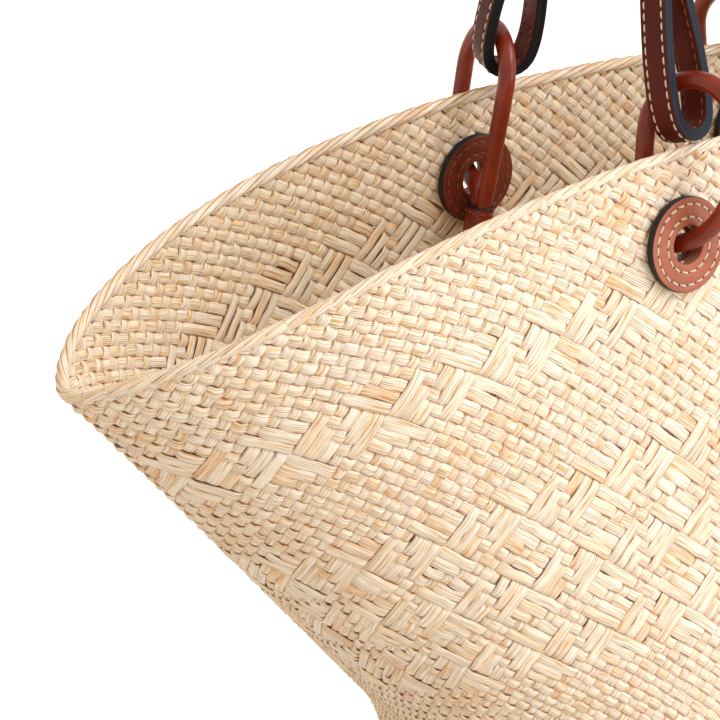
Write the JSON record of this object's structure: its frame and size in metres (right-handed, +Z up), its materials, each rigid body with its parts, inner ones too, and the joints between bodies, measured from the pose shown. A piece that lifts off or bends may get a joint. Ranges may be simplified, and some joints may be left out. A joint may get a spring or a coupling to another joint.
{
  "type": "plaited tote basket",
  "caption": "Fan-shaped plaited palm-leaf tote basket with a braided rim, stitched leather washers, rolled leather rings and two leather strap handles that fold outwards.",
  "frame": {"origin": "on the floor under the middle of the basket", "axes": "+X along the mouth, front wall towards -Y, +Z up"},
  "size_m": [0.5552, 0.1518, 0.434],
  "materials": {
    "plaited_straw": "matte natural palm leaf, plaited",
    "braided_straw_edge": "matte natural palm leaf, braided",
    "washer_leather": "smooth tan-rose leather, painted edge",
    "cord_leather": "glossy red-brown rolled leather",
    "strap_leather": "semi-gloss dark chocolate leather, painted edge",
    "lining_leather": "satin dark leather"
  },
  "bodies": {
    "basket": {"basket_body": "plaited_straw", "rim_braid": "braided_straw_edge", "washer_front_left_outer": "washer_leather", "washer_front_left_inner": "washer_leather", "washer_front_right_outer": "washer_leather", "washer_front_right_inner": "washer_leather", "washer_back_left_outer": "washer_leather", "washer_back_left_inner": "washer_leather", "washer_back_right_outer": "washer_leather", "washer_back_right_inner": "washer_leather"},
    "ring_front_left": {"ring_cord_front_left": "cord_leather", "ring_sleeve_front_left": "cord_leather"},
    "ring_front_right": {"ring_cord_front_right": "cord_leather", "ring_sleeve_front_right": "cord_leather"},
    "ring_back_left": {"ring_cord_back_left": "cord_leather", "ring_sleeve_back_left": "cord_leather"},
    "ring_back_right": {"ring_cord_back_right": "cord_leather", "ring_sleeve_back_right": "cord_leather"},
    "handle_front": {"handle_strap_front": "strap_leather", "handle_lining_front": "lining_leather"},
    "handle_back": {"handle_strap_back": "strap_leather", "handle_lining_back": "lining_leather"}
  },
  "joints": [
    {"name": "handle_front_fold", "type": "hinge", "parent": "basket", "child": "handle_front", "pos_m": [0, -0.05462, 0.26335], "axis": [1, 0, 0], "range_deg": [0, 100]},
    {"name": "handle_back_fold", "type": "hinge", "parent": "basket", "child": "handle_back", "pos_m": [0, 0.05462, 0.26335], "axis": [-1, 0, 0], "range_deg": [0, 100]},
    {"name": "ring_front_left_swivel", "type": "hinge", "parent": "basket", "child": "ring_front_left", "pos_m": [-0.068, -0.05603, 0.22676], "axis": [0, 0, -1], "range_deg": [0, 15]},
    {"name": "ring_front_right_swivel", "type": "hinge", "parent": "basket", "child": "ring_front_right", "pos_m": [0.068, -0.05603, 0.22676], "axis": [0, 0, 1], "range_deg": [0, 15]},
    {"name": "ring_back_left_swivel", "type": "hinge", "parent": "basket", "child": "ring_back_left", "pos_m": [-0.068, 0.05603, 0.22676], "axis": [0, 0, 1], "range_deg": [0, 15]},
    {"name": "ring_back_right_swivel", "type": "hinge", "parent": "basket", "child": "ring_back_right", "pos_m": [0.068, 0.05603, 0.22676], "axis": [0, 0, -1], "range_deg": [0, 15]}
  ],
  "couplings": [
    {"joint": "ring_front_left_swivel", "follows": "handle_front_fold", "ratio": 0.15},
    {"joint": "ring_front_right_swivel", "follows": "handle_front_fold", "ratio": 0.15},
    {"joint": "ring_back_left_swivel", "follows": "handle_back_fold", "ratio": 0.15},
    {"joint": "ring_back_right_swivel", "follows": "handle_back_fold", "ratio": 0.15}
  ]
}
